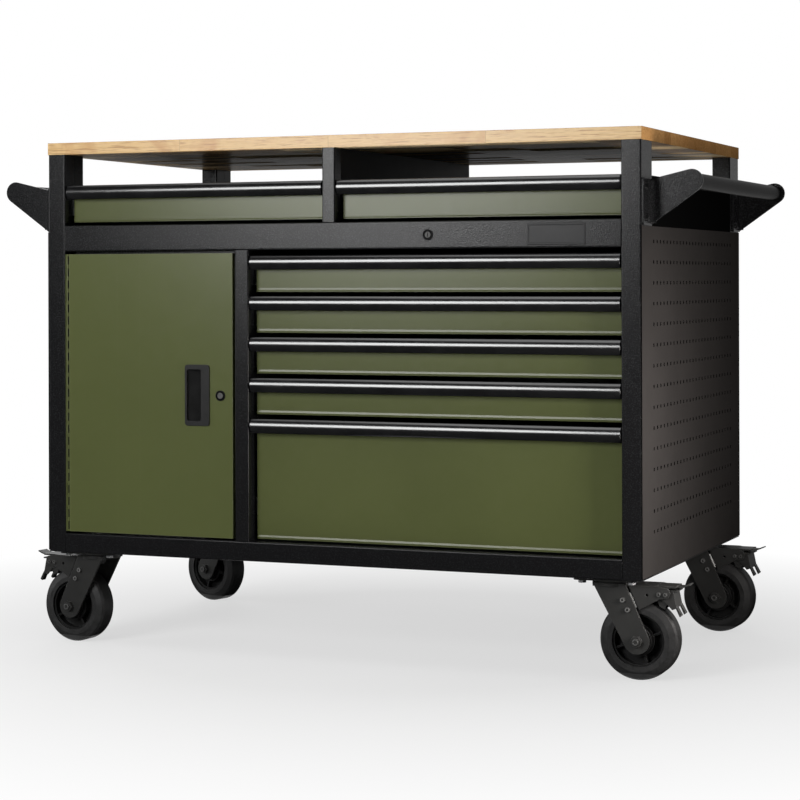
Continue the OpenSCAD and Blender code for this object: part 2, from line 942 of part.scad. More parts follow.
// A tyre with creased shoulders on a dished hub, turned about the axle.
module wheel_profile_2d() {
    half = wheel_w / 2;
    crease = wheel_r * 0.8;
    shoulder = wheel_r * 0.955;
    polygon([[tyre_in, -half], [crease, -half], [shoulder, -half + 4], [wheel_r, -half + 8.5],
             [wheel_r, half - 8.5], [shoulder, half - 4], [crease, half], [tyre_in, half]]);
    translate([rim_in, -half + 4])
        square([tyre_in - rim_in + 2, wheel_w - 8]);
    translate([axle_r + 5, -4])
        square([rim_in - axle_r - 4, 8]);
    translate([axle_r + barrel_play, -half])
        square([boss_r - axle_r - barrel_play, wheel_w]);
    translate([axle_r + 5, -half + 5])
        square([step_r - axle_r - 5, wheel_w - 10]);
    translate([axle_r + barrel_play, -leg_in + run_play])
        square([5, 2 * (leg_in - run_play)]);
}

module wheel(index) {
    ribs = 4;
    color(paint_gloss)
        at_caster(index)
            translate([axle.x, 0, axle.y])
                rotate([90, 0, 0]) {
                    rotate_extrude()
                        wheel_profile_2d();
                    for (rib = [0:ribs - 1])
                        rotate(casters[index][3] + rib * 360 / ribs)
                            translate([boss_r, -2, -wheel_w / 2 + 7])
                                cube([rim_in - boss_r + 2, 4, wheel_w - 14]);
                }
}

// Points of the brake pedal: from its pivot, or a gap out from the tyre at an angle about the axle.
function by_pivot(x, z) = [pivot_x + x, pivot_z + z];
function off_tyre(angle, gap) = axle + (wheel_r + gap) * [cos(angle), sin(angle)];

// The shoe over the tyre, which carries the tread above it.
module shoe_2d() {
    polygon([by_pivot(-4, 12.5), by_pivot(-4, 8), by_pivot(-8, 4), by_pivot(-8, -6), off_tyre(58, 2.2),
             off_tyre(50, 3.9), by_pivot(16, -12), by_pivot(12, 12.5)]);
}

module ear_2d() {
    polygon([by_pivot(-7, 7.5), by_pivot(24, 7.5), by_pivot(26, -2), by_pivot(30.5, -24), by_pivot(23, -27),
             by_pivot(11, -14), by_pivot(-3, -7)]);
}

module prong_2d() {
    polygon([by_pivot(27, -19), by_pivot(31, -20), by_pivot(40, -36), by_pivot(36.5, -39)]);
}

module tip_2d() {
    polygon([by_pivot(28, 11.5), by_pivot(41, 11.5), by_pivot(53, 16.5), by_pivot(52, 18.5),
             by_pivot(40, 13.7), by_pivot(28, 13.7)]);
}

// A flat plate of the pedal, seen on edge.
module plate_2d(x0, x1, z0, z1) {
    translate(by_pivot(x0, z0))
        square([x1 - x0, z1 - z0]);
}

// A profile drawn in X and Z, drawn out evenly to both sides of the wheel's plane.
module across(wide) {
    translate([0, -wide / 2, 0])
        along_y(wide)
            children();
}

// The brake pedal: a tread with a raised tip over a folded lever, whose end splits into two prongs.
module pedal(index) {
    lever_w = 46;
    ear_t = 3;
    shoe_w = lever_w - 2 * ear_t + 1;
    tread_w = 48;
    tip_w = 26;
    prong_w = 12;
    color(paint_black)
        at_caster(index)
            difference() {
                union() {
                    across(shoe_w)
                        shoe_2d();
                    for (side = [-1, 1])
                        translate([0, side * (lever_w - ear_t) / 2, 0])
                            across(ear_t)
                                ear_2d();
                    for (side = [-1, 1])
                        translate([0, side * (lever_w - prong_w) / 2, 0])
                            across(prong_w)
                                prong_2d();
                    across(lever_w)
                        polygon([by_pivot(22, 6), by_pivot(25, 6), by_pivot(31, -23), by_pivot(28, -24)]);
                    across(lever_w)
                        plate_2d(-6, 32, 5, 7.5);
                    across(tread_w)
                        plate_2d(-4, 30, 11.5, 14.5);
                    across(tip_w)
                        tip_2d();
                }
                translate([pivot_x, 0, pivot_z])
                    rotate([90, 0, 0])
                        cylinder(r = pivot_r + barrel_play, h = 2 * lever_w, center = true);
            }
}

worktop();
front_posts();
rear_posts();
upper_rail();
lower_rail();
centre_post();
middle_post();
upper_divider();
partition();
left_side_panel();
right_side_panel();
back_panel();
floor_pan();
deck_panel();
handle_bars();
handle_cheeks();
slide_rails();
hinge_frame_leaf();
caster_plates();
caster_bolts();
rail_lock_housing();
door_panel();
hinge_door_leaf();
door_pull();
door_lock_housing();
rail_lock_barrel();
door_lock_barrel();
drawer_box(0);  // upper_left_drawer
drawer_box(1);  // upper_right_drawer
drawer_box(2);  // drawer_1
drawer_box(3);  // drawer_2
drawer_box(4);  // drawer_3
drawer_box(5);  // drawer_4
drawer_box(6);  // deep_drawer
drawer_pull(0);  // upper_left_pull
drawer_pull(1);  // upper_right_pull
drawer_pull(2);  // pull_1
drawer_pull(3);  // pull_2
drawer_pull(4);  // pull_3
drawer_pull(5);  // pull_4
drawer_pull(6);  // deep_pull
runners(0);  // upper_left_runners
runners(1);  // upper_right_runners
runners(2);  // runners_1
runners(3);  // runners_2
runners(4);  // runners_3
runners(5);  // runners_4
runners(6);  // deep_runners
fork(0);  // fork_front_right
fork(1);  // fork_rear_right
fork(2);  // fork_front_left
fork(3);  // fork_rear_left
wheel(0);  // wheel_front_right
wheel(1);  // wheel_rear_right
wheel(2);  // wheel_front_left
wheel(3);  // wheel_rear_left
pedal(0);  // pedal_front_right
pedal(1);  // pedal_rear_right
pedal(2);  // pedal_front_left
pedal(3);  // pedal_rear_left
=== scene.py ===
"""Looks for the workbench roller cabinet: materials, trim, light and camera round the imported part."""
import json
import math

import bmesh
import bpy
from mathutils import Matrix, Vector

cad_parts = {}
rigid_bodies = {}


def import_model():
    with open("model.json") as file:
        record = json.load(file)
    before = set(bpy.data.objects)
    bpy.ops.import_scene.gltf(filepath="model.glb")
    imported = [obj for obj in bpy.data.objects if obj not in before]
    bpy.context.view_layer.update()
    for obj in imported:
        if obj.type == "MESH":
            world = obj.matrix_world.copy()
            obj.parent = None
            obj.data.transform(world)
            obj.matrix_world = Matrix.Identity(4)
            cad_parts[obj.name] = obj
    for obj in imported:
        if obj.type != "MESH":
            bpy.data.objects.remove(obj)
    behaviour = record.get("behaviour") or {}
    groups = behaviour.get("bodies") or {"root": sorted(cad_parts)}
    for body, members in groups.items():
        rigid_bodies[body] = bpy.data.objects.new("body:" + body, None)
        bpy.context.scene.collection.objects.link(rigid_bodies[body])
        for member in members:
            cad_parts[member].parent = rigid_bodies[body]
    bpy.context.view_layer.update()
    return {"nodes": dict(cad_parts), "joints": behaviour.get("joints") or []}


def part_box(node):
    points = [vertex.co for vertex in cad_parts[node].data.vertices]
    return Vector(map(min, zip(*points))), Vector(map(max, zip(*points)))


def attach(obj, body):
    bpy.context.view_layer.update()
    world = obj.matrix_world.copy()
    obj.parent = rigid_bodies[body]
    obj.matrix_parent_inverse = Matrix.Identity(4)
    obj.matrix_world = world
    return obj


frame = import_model()
nodes = frame["nodes"]
joints = {joint["name"]: joint for joint in frame["joints"]}
scene = bpy.context.scene
scene.view_settings.view_transform = "Standard"

# Sizes are in metres. A point no deeper than the skin counts as on a face.
SKIN = 0.0004

# Staves of the worktop and the glue between them
STAVE_L = 0.31
STAVE_W = 0.042
GLUE_LINE = 0.0003

# How deep a drawer's green reaches from its foremost point, and its zinc from its widest points
FRONT_DEPTH = 0.00225
SLIDE_W = 0.00885

# The hinge: its knuckles, and the share of a knuckle's length and the depth taken by the painted shade, a
# dark dash beside each knuckle
KNUCKLES = 23
SHADE_DASH_SHARE = 0.68
SHADE_DASH_DEPTH = 0.003

# Distance from the axle at which a wheel turns from hub to rubber
TYRE_INSIDE = 0.0478

# The bare plate on the upper rail: its sides, its corner radius, and its rim as pairs of inset and height
PLATE_X = (0.388, 0.497)
PLATE_Z = (0.7735, 0.8126)
PLATE_CORNER = 0.0025
PLATE_LEAST_CORNER = 0.0006
PLATE_RIM = ((0.0, 0.0), (0.0, 0.0007), (0.0009, 0.0013), (0.0034, 0.0013), (0.0042, 0.0009))
CORNER_STEPS = 4

# Fixings on a caster: places along its heading from the swivel and up, then distances from the wheel's plane
LEG_BOLTS = ((0.0250, 0.1435), (0.0340, 0.1266))
BRAKE_RIVETS = ((0.0890, 0.1550), (0.1010, 0.1550))
AXLE_END = (0.0500, 0.0710)
LEG_FACE = 0.0369
BRAKE_FACE = 0.0314
AXLE_FACE = 0.0444

# Rings on these fixings: outer radius, inner radius and height, and the steps round them
BOLT_RING = (0.0044, 0.0020, 0.0006)
RIVET_RING = (0.0034, 0.0018, 0.0005)
AXLE_RING = (0.0057, 0.0032, 0.0005)
RING_STEPS = 24

# The pale strip in a fork's slit, painted light as the highlight there: its upper and lower ends, its width
# and its two faces
STRIP_TOP = (0.0358, 0.1564)
STRIP_FOOT = (0.0472, 0.1310)
STRIP_W = 0.0026
STRIP_NEAR = 0.0272
STRIP_FAR = 0.0286

# The studio: the floor's half side, the dark wall's rings as pairs of reach and height, and its grey steps
FLOOR_REACH = 30
WALL_RINGS = ((0.40, 0.012), (9.0, 0.012), (9.0, 14.0))
WALL_STEPS = 36
GREY_STEPS = range(6, 13)
WORLD_LIGHT = 0.09
WARM = (1.0, 0.955, 0.925)


def srgb(r, g, b):
    """A colour written as it looks on a screen, 0 to 255, as the linear colour that a shader takes."""
    def one(v):
        v /= 255
        return v / 12.92 if v <= 0.04045 else ((v + 0.055) / 1.055) ** 2.4
    return (one(r), one(g), one(b), 1.0)


def grey(level):
    return srgb(level, level, level)


def shade(colour, factor):
    """A colour made darker or lighter."""
    return tuple(min(1.0, c * factor) for c in colour[:3]) + (1.0,)


# The green of the fronts, shared by the door, its hinge and the drawers
GREEN = srgb(82, 88, 51)
GREEN_DEEP = srgb(81, 87, 50)
GREEN_PALE = srgb(86, 92, 54)
# A lighter green along the fronts' edges: painted highlight, together with wear
GREEN_EDGE_HIGHLIGHT_AND_WEAR = srgb(150, 154, 122)
GREEN_ROUGH = 0.22
GREEN_SPECULAR = 0.29


class Paint:
    """A material built node by node round one Principled shader. Places are object places, in metres."""

    def __init__(self, name):
        self.material = bpy.data.materials.new(name)
        self.material.use_nodes = True
        self.tree = self.material.node_tree
        self.shader = self.tree.nodes["Principled BSDF"]
        self.output = self.tree.nodes["Material Output"]
        self.place = self.add("ShaderNodeTexCoord").outputs["Object"]
        self.split = None

    def add(self, kind, **settings):
        node = self.tree.nodes.new(kind)
        for key, value in settings.items():
            setattr(node, key, value)
        return node

    def put(self, socket, value):
        """Links a socket's value, or writes a number or colour on the socket itself."""
        if isinstance(value, bpy.types.NodeSocket):
            self.tree.links.new(value, socket)
        else:
            socket.default_value = value

    def set(self, **values):
        """Gives the shader's own sockets their values."""
        for key, value in values.items():
            self.put(self.shader.inputs[key.replace("_", " ")], value)

    def axis(self, letter):
        if self.split is None:
            self.split = self.add("ShaderNodeSeparateXYZ")
            self.put(self.split.inputs[0], self.place)
        return self.split.outputs[letter]

    def math(self, operation, a, b=0.0, c=0.0):
        node = self.add("ShaderNodeMath", operation=operation)
        for socket, value in zip(node.inputs, (a, b, c)):
            self.put(socket, value)
        return node.outputs[0]

    def vector(self, operation, a, b=(0, 0, 0)):
        node = self.add("ShaderNodeVectorMath", operation=operation)
        self.put(node.inputs[0], a)
        self.put(node.inputs[1], b)
        return node.outputs["Value" if operation in ("DOT_PRODUCT", "LENGTH") else "Vector"]

    def noise(self, scale, detail=3.0, rough=0.6, distortion=0.0, place=None):
        node = self.add("ShaderNodeTexNoise")
        self.put(node.inputs["Vector"], place or self.place)
        node.inputs["Scale"].default_value = scale
        node.inputs["Detail"].default_value = detail
        node.inputs["Roughness"].default_value = rough
        node.inputs["Distortion"].default_value = distortion
        return node.outputs["Fac"]

    def streaks(self, scales, detail=3.0, rough=0.6, distortion=0.0, place=None):
        """Noise that has its own scale along each axis."""
        node = self.add("ShaderNodeMapping")
        self.put(node.inputs["Vector"], place or self.place)
        node.inputs["Scale"].default_value = scales
        return self.noise(1.0, detail, rough, distortion, node.outputs[0])

    def cells(self, scale):
        node = self.add("ShaderNodeTexVoronoi", feature="F1")
        self.put(node.inputs["Vector"], self.place)
        node.inputs["Scale"].default_value = scale
        return node.outputs["Distance"]

    def spread(self, value, low, high, out_low, out_high):
        """Maps one range of a value onto another, and holds it at both ends."""
        node = self.add("ShaderNodeMapRange")
        names = ("Value", "From Min", "From Max", "To Min", "To Max")
        for name, given in zip(names, (value, low, high, out_low, out_high)):
            self.put(node.inputs[name], given)
        return node.outputs[0]

    def ramp(self, value, *stops):
        node = self.add("ShaderNodeValToRGB")
        self.put(node.inputs[0], value)
        elements = node.color_ramp.elements
        while len(elements) < len(stops):
            elements.new(0.5)
        for element, (at, colour) in zip(elements, stops):
            element.position = at
            element.color = colour
        return node.outputs["Color"]

    def mix(self, share, a, b, kind="MIX", data="RGBA"):
        node = self.add("ShaderNodeMix", data_type=data, blend_type=kind)
        self.put(node.inputs["Factor"], share)
        self.put(node.inputs["A"], a)
        self.put(node.inputs["B"], b)
        return node.outputs["Result"]

    def blend(self, a, b, share):
        """Two values added, the first by its share and the second by the rest."""
        return self.math("MULTIPLY_ADD", a, share, self.math("MULTIPLY", b, 1 - share))

    def round_edges(self, radius):
        node = self.add("ShaderNodeBevel", samples=4)
        node.inputs["Radius"].default_value = radius
        return node.outputs["Normal"]

    def edge_share(self, rounded):
        """1 along an edge and 0 away from it, from how far the rounded normal turns from the flat one."""
        flat = self.add("ShaderNodeNewGeometry").outputs["Normal"]
        turn = self.math("SUBTRACT", 1.0, self.vector("DOT_PRODUCT", flat, rounded))
        return self.spread(turn, 0.03, 0.25, 0.0, 1.0)

    def worn(self, colour, edge_colour, rounded, share):
        """A colour with a share of another one along the edges: painted highlight on the rounded edges,
        together with wear.
        """
        return self.mix(self.math("MULTIPLY", self.edge_share(rounded), share), colour, edge_colour)

    def bump(self, height, strength, distance, normal):
        node = self.add("ShaderNodeBump")
        self.put(node.inputs["Height"], height)
        self.put(node.inputs["Normal"], normal)
        node.inputs["Strength"].default_value = strength
        node.inputs["Distance"].default_value = distance
        return node.outputs[0]


def powder_coat(name, dark, light, rough, specular):
    """Black powder coat: a fine raised grain whose tips are painted light as glints in its colour, the more
    so high on the cabinet, with painted highlight and wear along the edges.
    """
    p = Paint(name)
    grain = p.blend(p.noise(940, 1.0, 0.5), p.noise(420, 1.0, 0.5), 0.35)
    # The light flecks are painted glints on the grain's tips
    flecks = p.ramp(grain, (0.50, dark), (0.64, light))
    # The painted glints fade toward the floor: painted light that is strongest high on the cabinet
    colour = p.mix(p.spread(p.axis("Z"), 0.15, 0.72, 0.35, 1.0), dark, flecks)
    rounded = p.round_edges(0.0016)
    # The edges take the light colour as painted highlight, together with wear
    p.set(Base_Color=p.worn(colour, light, rounded, 0.45), Specular_IOR_Level=specular)
    p.set(Roughness=p.spread(grain, 0.35, 0.7, rough + 0.08, rough - 0.06))
    p.set(Normal=p.bump(grain, 0.5, 0.0006, rounded))
    return p.material


def sprayed(p):
    """A sprayed coat's fine cloud, and that cloud together with a slow drift."""
    cloud = p.noise(60)
    return cloud, p.blend(cloud, p.noise(5), 0.25)


def satin_finish(p, cloud, rough, rounded):
    """A nearly even sheen with faint orange peel."""
    p.set(Roughness=p.spread(cloud, 0.3, 0.7, rough - 0.015, rough + 0.02))
    p.set(Normal=p.bump(p.noise(700, 2.0, 0.5), 0.06, 0.0004, rounded))


def satin_paint(name, colour, rough, specular, vary, edge=None, radius=0.0012, face=None):
    """Smooth sprayed paint. An edge colour, where one is given, is painted highlight along the edges,
    together with wear. Nearer to the middle plane than a face, where one is given, such as on the walls of
    slots, it is painted dark as shade.
    """
    p = Paint(name)
    cloud, drift = sprayed(p)
    tone = p.ramp(drift, (0.3, shade(colour, 1 - vary)), (0.7, shade(colour, 1 + vary)))
    rounded = p.round_edges(radius)
    # Painted highlight along the edges, together with wear
    if edge:
        tone = p.worn(tone, edge, rounded, 0.6)
    # Painted shade: all that lies nearer the middle plane than the outer face, such as the walls of slots, is
    # dark
    if face:
        painted_shade_within = p.math("LESS_THAN", p.math("ABSOLUTE", p.axis("X")), face)
        tone = p.mix(painted_shade_within, tone, grey(8))
    p.set(Base_Color=tone, Specular_IOR_Level=specular)
    satin_finish(p, cloud, rough, rounded)
    return p.material


def staves(p):
    """Rows of staves: a value for each stave, the glue lines, and places shifted stave by stave."""
    brick = p.add("ShaderNodeTexBrick", offset=0.37)
    p.put(brick.inputs["Vector"], p.place)
    for key, level in (("Color1", 0.0), ("Mortar", 0.5), ("Color2", 1.0)):
        brick.inputs[key].default_value = (level, level, level, 1.0)
    sizes = {"Scale": 1.0, "Brick Width": STAVE_L, "Row Height": STAVE_W, "Mortar Size": GLUE_LINE}
    for key, value in sizes.items():
        brick.inputs[key].default_value = value
    brick.inputs["Mortar Smooth"].default_value = 0.3
    stave = brick.outputs["Color"]
    shift = p.mix(1.0, stave, (3.1, 1.7, 5.3, 1.0), "MULTIPLY")
    return stave, brick.outputs["Fac"], p.vector("ADD", p.place, shift)


def long_grain(p, stave, place):
    """The sides of the staves, with pores and stains along them, and the grain and pores by themselves."""
    grain = p.streaks((7, 130, 130), 5.0, 0.62, 0.6, place)
    pores = p.streaks((20, 420, 420), 2.0, 0.7, 0.0, place)
    stains = p.noise(16, 3.0, 0.6, 0.6, place)
    wood = p.ramp(grain, (0.26, srgb(176, 130, 74)), (0.44, srgb(212, 174, 114)), (0.70, srgb(226, 196, 142)))
    tone = p.ramp(
        stave,
        (0.0, srgb(182, 136, 78)),
        (0.35, srgb(200, 158, 98)),
        (0.75, srgb(222, 192, 140)),
        (1.0, srgb(200, 152, 92)),
    )
    wood = p.mix(0.45, wood, tone)
    wood = p.mix(p.spread(pores, 0.54, 0.68, 0.0, 0.75), wood, srgb(158, 110, 60))
    wood = p.mix(p.spread(stains, 0.50, 0.70, 0.0, 0.60), wood, srgb(184, 132, 76))
    return wood, grain, pores


def end_grain(p, stave, place):
    """The cut ends of the staves, with growth rings and dark flecks."""
    rings = p.streaks((60, 150, 230), 4.0, 0.6, 1.2, place)
    flecks = p.streaks((200, 1100, 1100), 2.0, 0.7, 0.0, place)
    wood = p.ramp(rings, (0.3, srgb(164, 114, 64)), (0.55, srgb(206, 156, 99)), (0.75, srgb(228, 182, 122)))
    tone = p.ramp(stave, (0.0, srgb(150, 102, 58)), (0.5, srgb(222, 172, 112)), (1.0, srgb(186, 134, 80)))
    wood = p.mix(0.4, wood, tone)
    return p.mix(p.spread(flecks, 0.55, 0.75, 0.0, 0.5), wood, srgb(112, 74, 42))


def butcher_block(low, high):
    """Glued rubberwood staves along the bench: satin varnish, bare ends, and a partly bare underside whose
    colour is painted light and shade.
    """
    p = Paint("worktop_wood")
    stave, glue, place = staves(p)
    wood, grain, pores = long_grain(p, stave, place)
    on_end = p.math("GREATER_THAN", p.math("ABSOLUTE", p.axis("X")), high.x - SKIN)
    under = p.math("LESS_THAN", p.axis("Z"), low.z + SKIN / 2)
    colour = p.mix(on_end, wood, end_grain(p, stave, place))
    colour = p.mix(p.math("MULTIPLY", glue, 0.6), colour, srgb(120, 84, 48))
    # Under the worktop the colour is painted light and shade: a darker brown, with some staves painted far
    # lighter
    underside_light_and_shade = p.ramp(stave, (0.0, srgb(96, 72, 46)), (0.6, srgb(140, 110, 72)), (0.7, srgb(250, 228, 188)))
    colour = p.mix(p.math("MULTIPLY", under, 0.75), colour, underside_light_and_shade)
    unsealed = p.spread(p.math("GREATER_THAN", stave, 0.7), 0.0, 1.0, 0.96, 1.0)
    bare = p.math("MAXIMUM", on_end, p.math("MULTIPLY", under, unsealed))
    relief = p.math("MULTIPLY_ADD", glue, -0.8, p.math("MULTIPLY_ADD", pores, -0.5, grain))
    p.set(Base_Color=colour, Roughness=p.spread(grain, 0.3, 0.7, 0.24, 0.34))
    p.set(Specular_IOR_Level=p.spread(bare, 0.0, 1.0, 0.40, 0.0))
    p.set(Normal=p.bump(relief, 0.10, 0.0005, p.round_edges(0.0015)))
    return p.material


def plated_steel(name, colour, rough):
    """Zinc plate: a metal whose brightness and gloss drift in small patches, with drawn streaks."""
    p = Paint(name)
    patch = p.noise(90)
    streak = p.streaks((900, 20, 900))
    p.set(Base_Color=p.ramp(p.blend(streak, patch, 0.3), (0.3, shade(colour, 0.72)), (0.65, colour)))
    p.set(Metallic=1.0, Roughness=p.spread(patch, 0.3, 0.7, rough - 0.06, rough + 0.08))
    p.set(Normal=p.bump(streak, 0.08, 0.0003, p.round_edges(0.0006)))
    return p.material


def gloss_pull():
    """The bowed pulls: gloss black over a drawn profile, with faint lines along it."""
    p = Paint("pull_gloss_black")
    haze = p.noise(24)
    lines = p.streaks((2.0, 900, 900))
    p.set(Base_Color=p.ramp(haze, (0.3, srgb(20, 20, 21)), (0.7, srgb(28, 28, 29))))
    p.set(Roughness=p.spread(haze, 0.3, 0.7, 0.17, 0.22), Specular_IOR_Level=1.0)
    p.set(Normal=p.bump(lines, 0.02, 0.0002, p.round_edges(0.0008)))
    return p.material


def moulding(name, colour, rough):
    """Black moulding with a fine spark-eroded grain."""
    p = Paint(name)
    cloud = p.noise(40)
    p.set(Base_Color=p.ramp(cloud, (0.3, colour), (0.7, shade(colour, 1.5))))
    p.set(Roughness=p.spread(cloud, 0.3, 0.7, rough - 0.05, rough + 0.06), Specular_IOR_Level=0.25)
    p.set(Normal=p.bump(p.cells(1500), 0.10, 0.0003, p.round_edges(0.0010)))
    return p.material


def drawer_paint(name, low, high):
    """A drawer in one piece: green front, dark tray behind it, zinc slide members and outer sides."""
    p = Paint(name)
    cloud, drift = sprayed(p)
    front = p.ramp(drift, (0.3, GREEN_DEEP), (0.7, GREEN_PALE))
    tray = p.ramp(drift, (0.3, srgb(34, 35, 36)), (0.7, srgb(46, 47, 48)))
    plate = p.ramp(p.noise(90), (0.3, srgb(150, 152, 154)), (0.65, srgb(186, 188, 190)))
    behind = p.math("GREATER_THAN", p.axis("Y"), low.y + FRONT_DEPTH)
    from_middle = p.math("ABSOLUTE", p.math("SUBTRACT", p.axis("X"), (low.x + high.x) / 2))
    beside = p.math("GREATER_THAN", from_middle, (high.x - low.x) / 2 - SLIDE_W)
    slide = p.math("MULTIPLY", beside, behind)
    colour = p.mix(slide, p.mix(behind, front, tray), plate)
    rounded = p.round_edges(0.0010)
    # The front's edges take the lighter green as painted highlight, together with wear
    edge_highlight_and_wear_share = p.math("MULTIPLY", p.math("SUBTRACT", 1.0, behind), 0.55)
    p.set(Base_Color=p.worn(colour, GREEN_EDGE_HIGHLIGHT_AND_WEAR, rounded, edge_highlight_and_wear_share), Metallic=slide)
    p.set(Specular_IOR_Level=GREEN_SPECULAR)
    satin_finish(p, cloud, GREEN_ROUGH, rounded)
    return p.material


def hinge_paint(pin, foot, head):
    """The fronts' green on both hinge leaves, with a dark dash of painted shade beside each knuckle, toward
    the door, where its groove is in shadow.
    """
    p = Paint("hinge_green")
    tone = p.ramp(p.noise(5), (0.3, GREEN_DEEP), (0.7, GREEN_PALE))
    along = p.math("DIVIDE", p.math("SUBTRACT", p.axis("Z"), foot), (head - foot) / KNUCKLES)
    from_middle = p.math("ABSOLUTE", p.math("SUBTRACT", p.math("FRACT", along), 0.5))
    on_knuckle = p.math("LESS_THAN", from_middle, SHADE_DASH_SHARE / 2)
    beside_pin = p.math("GREATER_THAN", p.axis("X"), pin[0] + SKIN)
    in_front = p.math("LESS_THAN", p.axis("Y"), pin[1] + SHADE_DASH_DEPTH)
    # Painted shade: a dark dash beside each knuckle, in the groove toward the door
    relief = p.math("MULTIPLY", on_knuckle, p.math("MULTIPLY", beside_pin, in_front))
    p.set(Base_Color=p.mix(relief, tone, grey(12)), Roughness=GREEN_ROUGH)
    p.set(Specular_IOR_Level=p.spread(relief, 0.0, 1.0, GREEN_SPECULAR, 0.0))
    p.set(Normal=p.round_edges(0.0006))
    return p.material


def wheel_rubber(name, centre, axle):
    """A caster wheel in one piece: rubber round a moulded hub, told apart by distance from the axle."""
    p = Paint(name)
    from_axle = p.vector("CROSS_PRODUCT", p.vector("SUBTRACT", p.place, centre), axle)
    outside = p.math("GREATER_THAN", p.vector("LENGTH", from_axle), TYRE_INSIDE)
    dust = p.noise(55, 4.0, 0.65)
    scuff = p.noise(260, 3.0, 0.7)
    rubber = p.ramp(p.blend(scuff, dust, 0.35), (0.35, grey(31)), (0.62, grey(46)), (0.8, srgb(64, 63, 62)))
    hub = p.ramp(dust, (0.3, grey(13)), (0.7, grey(25)))
    rounded = p.round_edges(0.0012)
    # Lighter edges: painted highlight, together with wear
    p.set(Base_Color=p.worn(p.mix(outside, hub, rubber), grey(74), rounded, 0.35))
    p.set(Roughness=p.mix(outside, 0.42, p.spread(scuff, 0.3, 0.7, 0.42, 0.58), data="FLOAT"))
    p.set(Specular_IOR_Level=0.25, Normal=p.bump(scuff, 0.12, 0.0004, rounded))
    return p.material


# One material for each finish, and the nodes that wear it
wood = butcher_block(*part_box("worktop"))
coat = powder_coat("frame_powder_coat", srgb(21, 21, 22), srgb(45, 46, 47), 0.13, 0.20)
# The edge colours given to the satin paints below are painted highlight along the edges, together with wear
bar_coat = satin_paint("handle_bar_satin", grey(24), 0.24, 0.012, 0.15, grey(46))
sheet_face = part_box("right_side_panel")[1].x - SKIN
sheet = satin_paint("sheet_satin_black", srgb(46, 44, 43), 0.55, 0.0, 0.10, face=sheet_face)
back_sheet = satin_paint("back_sheet_black", srgb(42, 42, 43), 0.42, 0.2, 0.12, grey(70))
inner_sheet = satin_paint("inner_sheet_black", grey(32), 0.50, 0.2, 0.15)
door_green = satin_paint("door_green", GREEN, GREEN_ROUGH, GREEN_SPECULAR, 0.04, GREEN_EDGE_HIGHLIGHT_AND_WEAR, 0.0022)
hinge_foot, hinge_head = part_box("hinge_frame_leaf")
hinge_green = hinge_paint(joints["door_hinge"]["pos_m"], hinge_foot.z, hinge_head.z)
pull = gloss_pull()
grip = moulding("door_grip_black", grey(20), 0.38)
lock = satin_paint("lock_collar_black", grey(14), 0.34, 0.03, 0.15, grey(96), 0.0010)
barrel = satin_paint("lock_barrel_grey", srgb(92, 92, 91), 0.34, 0.1, 0.15, grey(180), 0.0008)
caster = satin_paint("caster_satin_black", srgb(45, 45, 44), 0.40, 0.25, 0.2, srgb(96, 96, 95))
zinc = plated_steel("zinc_plate", srgb(205, 206, 207), 0.36)

FINISHES = (
    (wood, ("worktop",)),
    (coat, ("front_posts", "rear_posts", "centre_post", "middle_post")),
    (coat, ("upper_rail", "lower_rail", "handle_cheeks")),
    (bar_coat, ("handle_bars",)),
    (sheet, ("left_side_panel", "right_side_panel")),
    (back_sheet, ("back_panel",)),
    (inner_sheet, ("upper_divider", "partition", "floor_pan", "deck_panel")),
    (door_green, ("door_panel",)),
    (hinge_green, ("hinge_frame_leaf", "hinge_door_leaf")),
    (grip, ("door_pull",)),
    (lock, ("rail_lock_housing", "door_lock_housing")),
    (barrel, ("rail_lock_barrel", "door_lock_barrel")),
    (caster, ("caster_plates",)),
    (zinc, ("slide_rails", "caster_bolts")),
)
dress = {name: finish for finish, names in FINISHES for name in names}

# Drawers of one bay share a width, and so a material.
BAYS = {"upper_left": "upper_left_drawer", "upper_right": "upper_right_drawer", "lower": "drawer_1"}
fronts = {bay: drawer_paint("drawer_" + bay, *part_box(node)) for bay, node in BAYS.items()}
for name in nodes:
    if name.endswith("_drawer") or name.startswith("drawer_"):
        dress[name] = fronts.get(name.removesuffix("_drawer"), fronts["lower"])
    elif "runners" in name:
        dress[name] = zinc
    elif name.startswith(("fork_", "pedal_")):
        dress[name] = caster
    elif name.startswith("wheel_"):
        spin = joints[name.replace("wheel_", "spin_")]
        dress[name] = wheel_rubber(name + "_rubber", spin["pos_m"], spin["axis"])
    elif "pull" in name and name != "door_pull":
        dress[name] = pull
for name, node in nodes.items():
    for place in node.material_slots:
        place.link = "OBJECT"
        place.material = dress[name]


def skin(shape, rows):
    """Closes the band between each ring of points and the next with four-sided faces."""
    faces = []
    for a, b in zip(rows, rows[1:]):
        for i in range(len(a)):
            j = (i + 1) % len(a)
            faces.append(shape.faces.new((a[i], a[j], b[j], b[i])))
    return faces


def new_piece(name, mesh_maker, material, body):
    """A mesh piece drawn in the part's own frame, that rides on a body."""
    mesh = bpy.data.meshes.new(name)
    shape = bmesh.new()
    mesh_maker(shape)
    bmesh.ops.recalc_face_normals(shape, faces=shape.faces)
    shape.normal_update()
    shape.to_mesh(mesh)
    shape.free()
    piece = bpy.data.objects.new(name, mesh)
    scene.collection.objects.link(piece)
    mesh.materials.append(material)
    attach(piece, body)


